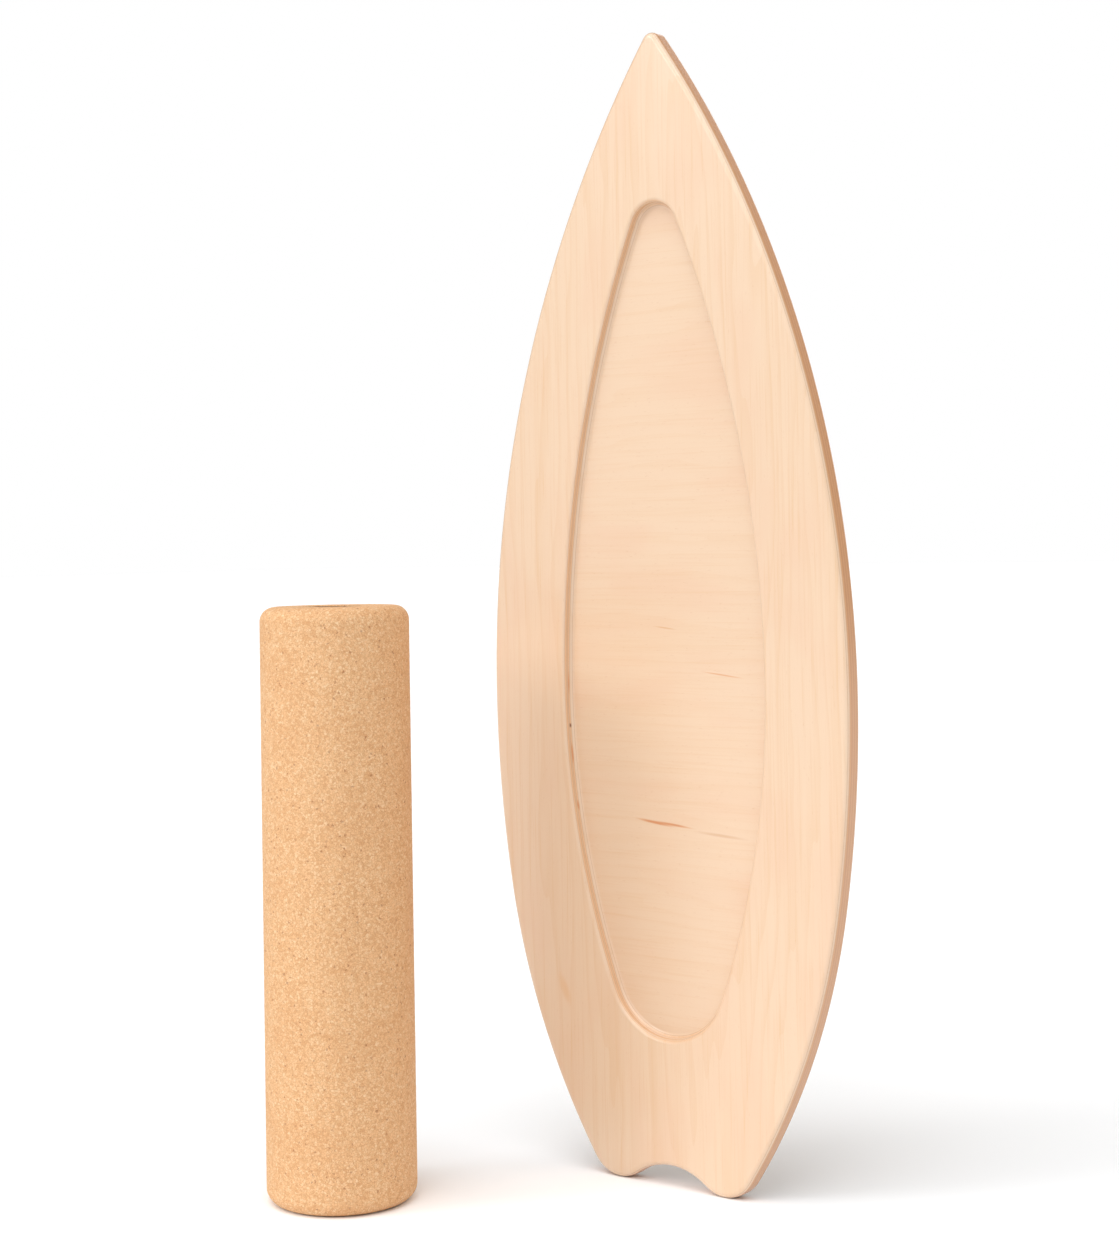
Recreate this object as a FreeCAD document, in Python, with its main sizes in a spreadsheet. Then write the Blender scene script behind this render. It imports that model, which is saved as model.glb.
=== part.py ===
import FreeCAD, Part
import math
import os
import Sketcher

# A surf-shaped wooden balance board and its cork roller, as they stand side by side.
#
# Frame: +Z up, the floor at z = 0. The deck stands upright on the two lobes of its
# swallow tail, its recessed underside facing -Y and its plain standing side facing +Y.
# The roller stands on one end in front of it, to the left. The origin is on the floor,
# under the middle of the two pieces' common outline.
#
# The deck is plywood: eleven veneers glued face to face, grain crosswise in every second
# one, cut to the outline and routed as one blank. Each veneer is the slice of that
# machined blank that lies between two glue lines.

SIZES = {
    # deck outline, from the floor up
    "deck_length": 779.0,
    "deck_width": 296.0,
    "deck_thickness": 15.0,
    "nose_radius": 7.0,
    "widest_height": 332.0,
    "flank_radius": 830.0,
    "shoulder_height": 190.0,
    "shoulder_radius": 465.0,
    "lobe_radius": 25.3,
    "notch_radius": 49.0,
    "edge_round": 4.0,
    # roller recess in the underside
    "recess_width": 173.0,
    "recess_nose_margin": 113.0,
    "recess_tail_margin": 95.0,
    "recess_widest_height": 337.0,
    "recess_nose_radius": 22.3,
    "recess_tail_radius": 50.1,
    "recess_depth": 7.3,
    "rim_round": 3.0,
    "cove_round": 3.8,
    "wall_land": 0.2,
    # plywood
    "ply_count": 11.0,
    "saw_margin": 10.0,
    # cork roller
    "roller_length": 393.0,
    "roller_diameter": 100.0,
    "roller_bore": 40.0,
    "roller_end_round": 10.0,
    "bore_round": 1.5,
    # where the roller stands, from the deck's centre line and its recessed face
    "roller_side_offset": 162.0,
    "roller_front_offset": 146.0,
}

PLY_NAMES = [
    "underside_face_veneer",
    "ply_02_crossband",
    "ply_03_long_grain",
    "ply_04_crossband",
    "ply_05_long_grain",
    "ply_06_crossband",
    "ply_07_long_grain",
    "ply_08_crossband",
    "ply_09_long_grain",
    "ply_10_crossband",
    "standing_face_veneer",
]

# Where the deck's centre line and its recessed face lie, so that the origin is under the
# middle of the common outline of deck and roller.
DECK_X = "(Sizes.roller_side_offset + Sizes.roller_diameter / 2 - Sizes.deck_width / 2) / 2"
FACE_Y = "(Sizes.roller_front_offset + Sizes.roller_diameter / 2 - Sizes.deck_thickness) / 2"
PLY_THICKNESS = "Sizes.deck_thickness / Sizes.ply_count"

START, END, CENTRE = 1, 2, 3  # the named points of a sketched arc
V_AXIS = -2
ORIGIN = -1


def make_sheet(doc):
    """Put every driving size into the spreadsheet, one named cell each."""
    sheet = doc.addObject("Spreadsheet::Sheet", "Sizes")
    for row, (name, value) in enumerate(SIZES.items(), start=1):
        sheet.set(f"A{row}", name)
        sheet.set(f"B{row}", str(value))
        sheet.setAlias(f"B{row}", name)
    doc.recompute()
    return sheet


def origin_plane(body, role):
    """Return the body's own origin plane with this role."""
    return next(item for item in body.Origin.OriginFeatures if item.Role == role)


def new_sketch(body, name, role):
    """Add a sketch on one of the body's own origin planes."""
    sketch = body.newObject("Sketcher::SketchObject", name)
    sketch.AttachmentSupport = (origin_plane(body, role), [""])
    sketch.MapMode = "FlatFace"
    return sketch


def add_arc(sketch, centre, radius, start, end):
    """Add an arc that runs anticlockwise between two angles, and return its number."""
    circle = Part.Circle(FreeCAD.Vector(centre[0], centre[1], 0), FreeCAD.Vector(0, 0, 1), radius)
    return sketch.addGeometry(Part.ArcOfCircle(circle, start, end), False)


def add_size(sketch, name, constraint, expression):
    """Add a named dimension and bind it to the spreadsheet."""
    index = sketch.addConstraint(constraint)
    sketch.renameConstraint(index, name)
    sketch.setExpression(f"Constraints.{name}", expression)


def add_radius(sketch, arc, value, name, expression=None):
    """Give an arc its radius, from the cell of the same name unless told otherwise."""
    add_size(sketch, name, Sketcher.Constraint("Radius", arc, value), expression or f"Sizes.{name}")


def add_height(sketch, name, arc, point, value, expression):
    """Give a point of an arc its height above the sketch's origin."""
    constraint = Sketcher.Constraint("DistanceY", ORIGIN, START, arc, point, value)
    add_size(sketch, name, constraint, expression)


def add_half_width(sketch, arc, value, expression):
    """Give the start of an arc, the outline's widest point, its distance from the middle."""
    constraint = Sketcher.Constraint("DistanceX", ORIGIN, START, arc, START, value)
    add_size(sketch, "half_width", constraint, expression)


def add_symmetric(sketch, first, first_end, second, second_end):
    """Mirror one arc's end on another's, about the sketch's upright axis."""
    sketch.addConstraint(
        Sketcher.Constraint("Symmetric", first, first_end, second, second_end, V_AXIS)
    )


def join_tangent(sketch, pairs):
    """Join arcs end to end, each pair smooth where it meets."""
    for first, first_end, second, second_end in pairs:
        sketch.addConstraint(Sketcher.Constraint("Tangent", first, first_end, second, second_end))


def flank_arc(half_width, widest, cap_centre, cap_radius):
    """Return the centre's x and the radius of the side arc that runs into a round cap.

    The arc stands upright at the widest point and meets the cap's circle smoothly.
    """
    rise = cap_centre - widest
    radius = (half_width**2 + rise**2 - cap_radius**2) / (2 * (half_width - cap_radius))
    return half_width - radius, radius


def sketch_deck_outline(body, size):
    """Draw the surfboard outline: nose, flanks, shoulders, two tail lobes and the notch."""
    half = size["deck_width"] / 2
    widest = size["widest_height"]
    nose = size["nose_radius"]
    nose_z = size["deck_length"] - nose
    upper_x, upper = flank_arc(half, widest, nose_z, nose)
    nose_angle = math.atan2(nose_z - widest, -upper_x)

    lower = size["flank_radius"]
    lower_x = half - lower
    lower_angle = math.asin((widest - size["shoulder_height"]) / lower)
    shoulder = size["shoulder_radius"]
    shoulder_x = lower_x + (lower - shoulder) * math.cos(lower_angle)
    shoulder_z = widest - (lower - shoulder) * math.sin(lower_angle)

    lobe = size["lobe_radius"]
    lobe_x = shoulder_x + math.sqrt((shoulder - lobe) ** 2 - (shoulder_z - lobe) ** 2)
    lobe_angle = math.atan2(shoulder_z - lobe, lobe_x - shoulder_x)
    notch = size["notch_radius"]
    notch_z = lobe - math.sqrt((lobe + notch) ** 2 - lobe_x**2)
    notch_angle = math.atan2(lobe - notch_z, lobe_x)

    sketch = new_sketch(body, "deck_outline", "XZ_Plane")
    pi = math.pi
    tip = add_arc(sketch, (0, nose_z), nose, nose_angle, pi - nose_angle)
    left = [
        add_arc(sketch, (-upper_x, widest), upper, pi - nose_angle, pi),
        add_arc(sketch, (-lower_x, widest), lower, pi, pi + lower_angle),
        add_arc(sketch, (-shoulder_x, shoulder_z), shoulder, pi + lower_angle, pi + lobe_angle),
        add_arc(sketch, (-lobe_x, lobe), lobe, pi + lobe_angle, 2 * pi - notch_angle),
    ]
    hollow = add_arc(sketch, (0, notch_z), notch, notch_angle, pi - notch_angle)
    right = [
        add_arc(sketch, (upper_x, widest), upper, 0, nose_angle),
        add_arc(sketch, (lower_x, widest), lower, -lower_angle, 0),
        add_arc(sketch, (shoulder_x, shoulder_z), shoulder, -lobe_angle, -lower_angle),
        add_arc(sketch, (lobe_x, lobe), lobe, pi + notch_angle, 2 * pi - lobe_angle),
    ]

    joins = [(tip, END, left[0], START), (right[0], END, tip, START)]
    joins += [(left[i], END, left[i + 1], START) for i in range(3)]
    joins += [(right[i + 1], END, right[i], START) for i in range(3)]
    joins += [(left[3], END, hollow, END), (hollow, START, right[3], START)]
    join_tangent(sketch, joins)
    for arc in (tip, hollow):
        sketch.addConstraint(Sketcher.Constraint("PointOnObject", arc, CENTRE, V_AXIS))
    for left_arc, right_arc in zip(left, right):
        sketch.addConstraint(Sketcher.Constraint("Equal", left_arc, right_arc))
    add_symmetric(sketch, left[0], END, right[0], START)
    sketch.addConstraint(Sketcher.Constraint("Horizontal", left[1], END, right[1], START))

    add_radius(sketch, tip, nose, "nose_radius")
    add_radius(sketch, right[1], lower, "flank_radius")
    add_radius(sketch, right[2], shoulder, "shoulder_radius")
    add_radius(sketch, right[3], lobe, "lobe_radius")
    add_radius(sketch, hollow, notch, "notch_radius")
    add_height(sketch, "tip_height", tip, CENTRE, nose_z, "Sizes.deck_length - Sizes.nose_radius")
    add_height(sketch, "widest_height", right[0], START, widest, "Sizes.widest_height")
    add_height(sketch, "flank_height", right[0], CENTRE, widest, "Sizes.widest_height")
    add_height(
        sketch, "shoulder_height", right[1], START, size["shoulder_height"], "Sizes.shoulder_height"
    )
    add_height(sketch, "lobe_height", right[3], CENTRE, lobe, "Sizes.lobe_radius")
    add_half_width(sketch, right[0], half, "Sizes.deck_width / 2")
    return sketch


def sketch_recess_wall(body, size):
    """Draw the leaf-shaped wall of the recess, inside the round of its rim."""
    rim = size["rim_round"]
    half = size["recess_width"] / 2 - rim
    widest = size["recess_widest_height"]
    nose = size["recess_nose_radius"] - rim
    nose_z = size["deck_length"] - size["recess_nose_margin"] - size["recess_nose_radius"]
    tail = size["recess_tail_radius"] - rim
    tail_z = size["recess_tail_margin"] + size["recess_tail_radius"]
    upper_x, upper = flank_arc(half, widest, nose_z, nose)
    lower_x, lower = flank_arc(half, widest, tail_z, tail)
    nose_angle = math.atan2(nose_z - widest, -upper_x)
    tail_angle = math.atan2(widest - tail_z, -lower_x)

    sketch = new_sketch(body, "recess_wall", "XZ_Plane")
    pi = math.pi
    tip = add_arc(sketch, (0, nose_z), nose, nose_angle, pi - nose_angle)
    left_upper = add_arc(sketch, (-upper_x, widest), upper, pi - nose_angle, pi)
    left_lower = add_arc(sketch, (-lower_x, widest), lower, pi, pi + tail_angle)
    end = add_arc(sketch, (0, tail_z), tail, pi + tail_angle, 2 * pi - tail_angle)
    right_lower = add_arc(sketch, (lower_x, widest), lower, -tail_angle, 0)
    right_upper = add_arc(sketch, (upper_x, widest), upper, 0, nose_angle)

    ring = [tip, left_upper, left_lower, end, right_lower, right_upper]
    join_tangent(sketch, [(ring[i - 1], END, ring[i], START) for i in range(len(ring))])
    for arc in (tip, end):
        sketch.addConstraint(Sketcher.Constraint("PointOnObject", arc, CENTRE, V_AXIS))
    sketch.addConstraint(Sketcher.Constraint("Equal", left_upper, right_upper))
    add_symmetric(sketch, left_upper, END, right_upper, START)

    add_radius(sketch, tip, nose, "recess_nose_radius", "Sizes.recess_nose_radius - Sizes.rim_round")
    add_radius(sketch, end, tail, "recess_tail_radius", "Sizes.recess_tail_radius - Sizes.rim_round")
    add_height(
        sketch,
        "recess_nose",
        tip,
        CENTRE,
        nose_z,
        "Sizes.deck_length - Sizes.recess_nose_margin - Sizes.recess_nose_radius",
    )
    add_height(
        sketch, "recess_tail", end, CENTRE, tail_z, "Sizes.recess_tail_margin + Sizes.recess_tail_radius"
    )
    add_height(sketch, "recess_widest", right_upper, START, widest, "Sizes.recess_widest_height")
    add_height(sketch, "recess_flank", right_upper, CENTRE, widest, "Sizes.recess_widest_height")
    add_half_width(sketch, right_upper, half, "Sizes.recess_width / 2 - Sizes.rim_round")
    return sketch


def add_feature(body, kind, name, sizes):
    """Add a feature to the body, bind its sizes to the spreadsheet and return it."""
    feature = body.newObject(kind, name)
    for prop, expression in sizes.items():
        feature.setExpression(prop, expression)
    return feature


def round_edges(body, name, base, wanted, radius_expression, start_radius):
    """Round the edges of the base feature that the test picks."""
    numbers = [i for i, edge in enumerate(base.Shape.Edges, start=1) if wanted(edge)]
    fillet = body.newObject("PartDesign::Fillet", name)
    fillet.Base = (base, [f"Edge{i}" for i in numbers])
    fillet.Radius = start_radius
    fillet.setExpression("Radius", radius_expression)
    body.Document.recompute()
    return fillet


def lies_at(edge, axis, value):
    """Say whether the whole edge lies in the plane where this coordinate has this value."""
    box = edge.BoundBox
    low, high = {"y": (box.YMin, box.YMax), "z": (box.ZMin, box.ZMax)}[axis]
    return abs(low - value) < 1e-3 and abs(high - value) < 1e-3


def make_deck_blank(doc, size):
    """Make the machined deck in one piece: outline, rounded edges and the routed recess."""
    body = doc.addObject("PartDesign::Body", "deck_blank")
    body.Label = "deck_blank"
    outline = sketch_deck_outline(body, size)
    doc.recompute()
    pad = add_feature(body, "PartDesign::Pad", "blank", {"Length": "Sizes.deck_thickness"})
    pad.Profile = outline
    pad.Reversed = True
    doc.recompute()

    wall = sketch_recess_wall(body, size)
    doc.recompute()
    pocket = add_feature(body, "PartDesign::Pocket", "recess", {"Length": "Sizes.recess_depth"})
    pocket.Profile = wall
    doc.recompute()
    if pocket.Shape.Volume > pad.Shape.Volume - 1:
        raise RuntimeError("the recess pocket cuts nothing")

    inner = size["recess_width"] / 2
    top = size["deck_length"] - size["recess_nose_margin"]

    def in_recess(edge):
        box = edge.BoundBox
        return box.XMax < inner and box.XMin > -inner and box.ZMin > size["recess_tail_margin"] \
            and box.ZMax < top

    thickness = size["deck_thickness"]
    edges = round_edges(
        body,
        "edge_rounds",
        pocket,
        lambda e: (lies_at(e, "y", 0) or lies_at(e, "y", thickness)) and not in_recess(e),
        "min(Sizes.edge_round; Sizes.nose_radius - Sizes.wall_land; Sizes.deck_thickness / 2 - Sizes.wall_land)",
        size["edge_round"],
    )
    rim = round_edges(
        body,
        "rim_round",
        edges,
        lambda e: lies_at(e, "y", 0) and in_recess(e),
        "min(Sizes.rim_round; Sizes.recess_depth - Sizes.wall_land)",
        size["rim_round"],
    )
    cove = round_edges(
        body,
        "floor_cove",
        rim,
        lambda e: lies_at(e, "y", size["recess_depth"]) and in_recess(e),
        "min(Sizes.cove_round; Sizes.recess_depth - Sizes.rim_round - Sizes.wall_land)",
        min(size["cove_round"], size["recess_depth"] - size["rim_round"] - size["wall_land"]),
    )
    body.Tip = cove
    body.setExpression("Placement.Base.x", DECK_X)
    body.setExpression("Placement.Base.y", FACE_Y)
    doc.recompute()
    return body


def make_plies(doc, blank):
    """Slice the machined deck at its glue lines, one sub-part for each veneer."""
    plies = []
    for number, name in enumerate(PLY_NAMES):
        slab = doc.addObject("Part::Box", f"slab_{number + 1:02d}")
        slab.setExpression("Length", "Sizes.deck_width + 2 * Sizes.saw_margin")
        slab.setExpression("Width", PLY_THICKNESS)
        slab.setExpression("Height", "Sizes.deck_length + 2 * Sizes.saw_margin")
        slab.setExpression("Placement.Base.x", f"{DECK_X} - Sizes.deck_width / 2 - Sizes.saw_margin")
        slab.setExpression("Placement.Base.y", f"{FACE_Y} + {number} * {PLY_THICKNESS}")
        slab.setExpression("Placement.Base.z", "-Sizes.saw_margin")
        ply = doc.addObject("Part::Common", name)
        ply.Label = name
        ply.Base = blank
        ply.Tool = slab
        plies.append(ply)
    doc.recompute()
    return plies


def make_roller(doc, size):
    """Make the hollow cork roller, standing on one end."""
    body = doc.addObject("PartDesign::Body", "cork_roller")
    body.Label = "cork_roller"
    section = new_sketch(body, "roller_section", "XY_Plane")
    for name in ("roller_diameter", "roller_bore"):
        circle = Part.Circle(FreeCAD.Vector(0, 0, 0), FreeCAD.Vector(0, 0, 1), size[name] / 2)
        number = section.addGeometry(circle, False)
        section.addConstraint(Sketcher.Constraint("Coincident", number, CENTRE, ORIGIN, START))
        add_size(section, name, Sketcher.Constraint("Diameter", number, size[name]), f"Sizes.{name}")
    doc.recompute()
    pad = add_feature(body, "PartDesign::Pad", "roller_blank", {"Length": "Sizes.roller_length"})
    pad.Profile = section
    doc.recompute()

    def at_end(edge, radius):
        ends = lies_at(edge, "z", 0) or lies_at(edge, "z", size["roller_length"])
        return ends and abs(edge.Curve.Radius - radius) < 1e-3

    outer = round_edges(
        body,
        "end_rounds",
        pad,
        lambda e: at_end(e, size["roller_diameter"] / 2),
        "Sizes.roller_end_round",
        size["roller_end_round"],
    )
    bore = round_edges(
        body,
        "bore_rounds",
        outer,
        lambda e: at_end(e, size["roller_bore"] / 2),
        "Sizes.bore_round",
        size["bore_round"],
    )
    body.Tip = bore
    body.setExpression("Placement.Base.x", f"{DECK_X} - Sizes.roller_side_offset")
    body.setExpression("Placement.Base.y", f"{FACE_Y} - Sizes.roller_front_offset")
    doc.recompute()
    return body


def check_and_write(doc, subparts):
    """Check every object and every sub-part, then write one STEP file for each sub-part."""
    for item in doc.Objects:
        if "Invalid" in item.State or "Error" in item.State:
            raise RuntimeError(f"{item.Name} failed: {item.State}")
    for part in subparts:
        shape = part.Shape
        if shape.isNull() or not shape.isValid() or not shape.Solids:
            raise RuntimeError(f"{part.Label} has no valid solid")
    os.makedirs("parts", exist_ok=True)
    for part in subparts:
        part.Shape.exportStep(f"parts/{part.Label}.step")
        print(part.Label, len(part.Shape.Solids), round(part.Shape.Volume, 1))


document = FreeCAD.newDocument("balance_board")
make_sheet(document)
deck = make_deck_blank(document, SIZES)
check_and_write(document, make_plies(document, deck) + [make_roller(document, SIZES)])
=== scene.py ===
"""A wooden balance board and its cork roller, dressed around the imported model.

The deck is eleven maple veneers, cut from one machined blank that is modelled here with
its recess and its rounds. The roller is a turned tube of pressed cork. Lengths are in
metres, in the row frame: +Z up, the recessed underside of the deck facing -Y.
"""
import logging
import math
from collections.abc import Callable
from dataclasses import dataclass
from enum import Enum

import bmesh
import bpy
from mathutils import Matrix, Vector


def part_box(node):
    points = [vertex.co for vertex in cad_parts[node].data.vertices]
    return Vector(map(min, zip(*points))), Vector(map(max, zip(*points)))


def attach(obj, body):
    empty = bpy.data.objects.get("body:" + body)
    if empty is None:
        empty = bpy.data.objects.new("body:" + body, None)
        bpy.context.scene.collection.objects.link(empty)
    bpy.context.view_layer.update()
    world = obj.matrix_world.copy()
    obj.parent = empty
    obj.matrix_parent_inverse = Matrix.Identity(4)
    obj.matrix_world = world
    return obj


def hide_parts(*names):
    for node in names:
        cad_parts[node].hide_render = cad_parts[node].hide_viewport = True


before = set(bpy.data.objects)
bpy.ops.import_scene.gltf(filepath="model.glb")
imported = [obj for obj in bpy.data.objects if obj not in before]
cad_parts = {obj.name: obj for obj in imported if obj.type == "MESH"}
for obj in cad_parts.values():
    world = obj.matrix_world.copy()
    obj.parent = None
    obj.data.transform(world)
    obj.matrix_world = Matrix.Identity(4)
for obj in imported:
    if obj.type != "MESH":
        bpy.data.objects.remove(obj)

MM = 0.001
# the scale of a Mapping node that turns metres into millimetres
TO_MM = (1 / MM,) * 3
# corners closer together than this are in the same place
NEAR = 0.01 * MM
# a cut leaves corners alone that are this close to its plane
CUT_CLEARANCE = 0.001 * MM
# a corner is on a ring when its distance from the axis is right to this share of it
RING_SHARE = 0.01
# an edge that turns by less than this shapes nothing
FLAT = math.radians(0.5)
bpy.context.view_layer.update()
LOG = logging.getLogger("balance_board")

CornerTest = Callable[[Vector], bool]
Patterns = dict[str, bpy.types.NodeSocket]


class Grain(Enum):
    """Which way the fibres of a veneer run."""

    LENGTHWISE = "lengthwise"
    CROSSWISE = "crosswise"


class Element(Enum):
    """What a selection is made of: its name is a select mode, its value a bmesh sequence."""

    EDGE = "edges"
    FACE = "faces"


# ---------------------------------------------------------------------------
# Modelling helpers
# ---------------------------------------------------------------------------


def clear_selection() -> None:
    """Leave edit mode and deselect every object."""
    if bpy.context.object and bpy.context.object.mode != "OBJECT":
        bpy.ops.object.mode_set(mode="OBJECT")
    bpy.ops.object.select_all(action="DESELECT")


def take(piece: bpy.types.Object) -> None:
    """Make a piece the only selected object, and the active one.

    Args:
        piece: the object to select.
    """
    clear_selection()
    piece.select_set(True)
    bpy.context.view_layer.objects.active = piece


def is_flat(item: bmesh.types.BMEdge | bmesh.types.BMFace) -> bool:
    """Say whether this is an edge between two level faces, which shapes nothing."""
    return isinstance(item, bmesh.types.BMEdge) and item.calc_face_angle(math.pi) < FLAT


def pick(piece: bpy.types.Object, element: Element, test: CornerTest) -> None:
    """Select, in edit mode, the elements whose every corner passes the test.

    Edges between two level faces are left out.

    Args:
        piece: the object that is open in edit mode.
        element: what to select.
        test: says whether a corner at this place belongs to the selection.
    """
    bpy.ops.mesh.select_mode(type=element.name)
    bpy.ops.mesh.select_all(action="DESELECT")
    mesh = bmesh.from_edit_mesh(piece.data)
    for item in getattr(mesh, element.value):
        if all(test(corner.co) for corner in item.verts) and not is_flat(item):
            item.select_set(True)
    mesh.select_flush_mode()
    bmesh.update_edit_mesh(piece.data)


def finish_surface(piece: bpy.types.Object, crease: float) -> None:
    """Shade a closed piece smooth, keep its creases and let its flat faces stay flat.

    Args:
        piece: the object to shade.
        crease: the angle between faces from which an edge stays sharp.
    """
    take(piece)
    bpy.ops.object.shade_smooth_by_angle(angle=crease)
    bpy.ops.object.modifier_add(type="WEIGHTED_NORMAL")
    piece.modifiers[-1].keep_sharp = True
    bpy.ops.object.modifier_apply(modifier=piece.modifiers[-1].name)


@dataclass(frozen=True)
class Arc:
    """One round stretch of an outline, drawn clockwise as seen from the -Y side.

    The centre is across and up. A negative turn draws the other way, for a hollow.
    """

    centre: tuple[float, float]
    turn: float
    radius: float


@dataclass(frozen=True)
class Flank:
    """The long arc from a widest point to a round cap, upright at the widest point."""

    half_width: float
    widest: float
    cap_radius: float
    cap_height: float

    @property
    def radius(self) -> float:
        """Work out the arc's radius, so that it meets the cap without a corner.

        Returns:
            The radius, in metres.
        """
        rise = self.cap_height - self.widest
        spare = 2 * (self.half_width - self.cap_radius)
        return (self.half_width**2 + rise**2 - self.cap_radius**2) / spare

    @property
    def centre(self) -> tuple[float, float]:
        """Give the arc's centre, level with the widest point."""
        return (self.half_width - self.radius, self.widest)

    @property
    def turn(self) -> float:
        """Give the angle from the widest point to the cap."""
        return math.atan2(abs(self.cap_height - self.widest), self.radius - self.half_width)


@dataclass(frozen=True)
class Pencil:
    """Draws an outline in the X-Z plane from tangent arcs, each a run of short chords.

    The step is the longest that a chord may be, and an arc has at least the least steps.
    """

    step: float
    least_steps: int

    def draw(self, name: str, start: float, arcs: list[Arc]) -> bpy.types.Object:
        """Draw the arcs one after another and mirror them about X = 0.

        Args:
            name: the new object's name.
            start: the height on the middle line where the first arc begins.
            arcs: the arcs of the right half, from the top down to the middle line again.

        Returns:
            An object that holds one closed loop of edges.
        """
        clear_selection()
        bpy.ops.mesh.primitive_plane_add(size=self.step)
        outline = bpy.context.object
        outline.name = name
        bpy.ops.object.mode_set(mode="EDIT")
        bpy.ops.mesh.select_mode(type="VERT")
        bpy.ops.mesh.merge(type="CENTER")
        bpy.ops.transform.translate(value=(0, 0, start))
        for arc in arcs:
            steps = math.ceil(abs(arc.turn) * arc.radius / self.step)
            bpy.ops.mesh.spin(
                steps=max(self.least_steps, steps),
                angle=-arc.turn,
                center=(arc.centre[0], 0, arc.centre[1]),
                axis=(0, 1, 0),
            )
        bpy.ops.object.mode_set(mode="OBJECT")
        bpy.ops.object.modifier_add(type="MIRROR")
        outline.modifiers[-1].merge_threshold = NEAR
        bpy.ops.object.modifier_apply(modifier=outline.modifiers[-1].name)
        return outline


# ---------------------------------------------------------------------------
# Material helpers
# ---------------------------------------------------------------------------


def linear(code: str) -> tuple[float, float, float, float]:
    """Turn an sRGB hex colour into the linear colour that a socket takes.

    Args:
        code: the colour, as "#RRGGBB".

    Returns:
        Linear red, green and blue, and full opacity.
    """
    parts = [int(code[first : first + 2], 16) / 255 for first in (1, 3, 5)]
    # the sRGB curve: a short straight foot, and a power above it
    red, green, blue = (c / 12.92 if c <= 0.04045 else ((c + 0.055) / 1.055) ** 2.4 for c in parts)
    return (red, green, blue, 1.0)


def add_node(
    tree: bpy.types.NodeTree,
    kind: str,
    inputs: dict[str | int, object] | None = None,
    **settings: object,
) -> bpy.types.Node:
    """Add a node, give it its settings and set or link its inputs.

    Args:
        tree: the node tree that gets the node.
        kind: the node's type, without its "ShaderNode" prefix.
        inputs: for each input's name or number, a value or the output that feeds it.
        settings: the node's own properties.

    Returns:
        The new node.
    """
    node = tree.nodes.new("ShaderNode" + kind)
    for name, value in settings.items():
        setattr(node, name, value)
    for name, value in (inputs or {}).items():
        if isinstance(value, bpy.types.NodeSocket):
            tree.links.new(value, node.inputs[name])
        else:
            node.inputs[name].default_value = value
    return node


def new_tree(name: str) -> tuple[bpy.types.Material, bpy.types.NodeTree]:
    """Make a material with an empty node tree.

    Args:
        name: the material's name.

    Returns:
        The material and its node tree.
    """
    material = bpy.data.materials.new(name)
    material.use_nodes = True
    material.node_tree.nodes.clear()
    return material, material.node_tree


# a Mix node's colour sockets share their names with others, so they go by number
FACTOR, COLOUR_A, COLOUR_B, MIXED = 0, 6, 7, 2


@dataclass(frozen=True)
class Layer:
    """A colour laid over the ones below it, from where its pattern is low to where it is high.

    The top is how much of it covers what is below, where the pattern is high.
    """

    pattern: str
    colour: str
    low: float
    high: float
    top: float


def lay_colours(
    tree: bpy.types.NodeTree, base: str, layers: list[Layer], patterns: Patterns
) -> bpy.types.NodeSocket:
    """Lay colours over a base colour, each one by its own pattern.

    Args:
        tree: the material's node tree.
        base: the sRGB hex colour at the bottom.
        layers: what is laid over it, in order.
        patterns: the outputs that the layers name.

    Returns:
        The output that holds the finished colour.
    """
    colour = linear(base)
    for layer in layers:
        span = {
            "Value": patterns[layer.pattern],
            "From Min": layer.low,
            "From Max": layer.high,
            "To Max": layer.top,
        }
        weight = add_node(tree, "MapRange", span, interpolation_type="SMOOTHSTEP").outputs[0]
        parts = {FACTOR: weight, COLOUR_A: colour, COLOUR_B: linear(layer.colour)}
        colour = add_node(tree, "Mix", parts, data_type="RGBA").outputs[MIXED]
    return colour


@dataclass(frozen=True)
class Stain:
    """A natural mark in one veneer: a mineral streak, a knot or a warmer heartwood streak.

    Its place and size are across and up the deck, in metres, and its lean is in radians.
    The strength is how much of its colour covers the wood in its middle.
    """

    place: tuple[float, float]
    size: tuple[float, float]
    lean: float
    colour: str
    strength: float


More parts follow.
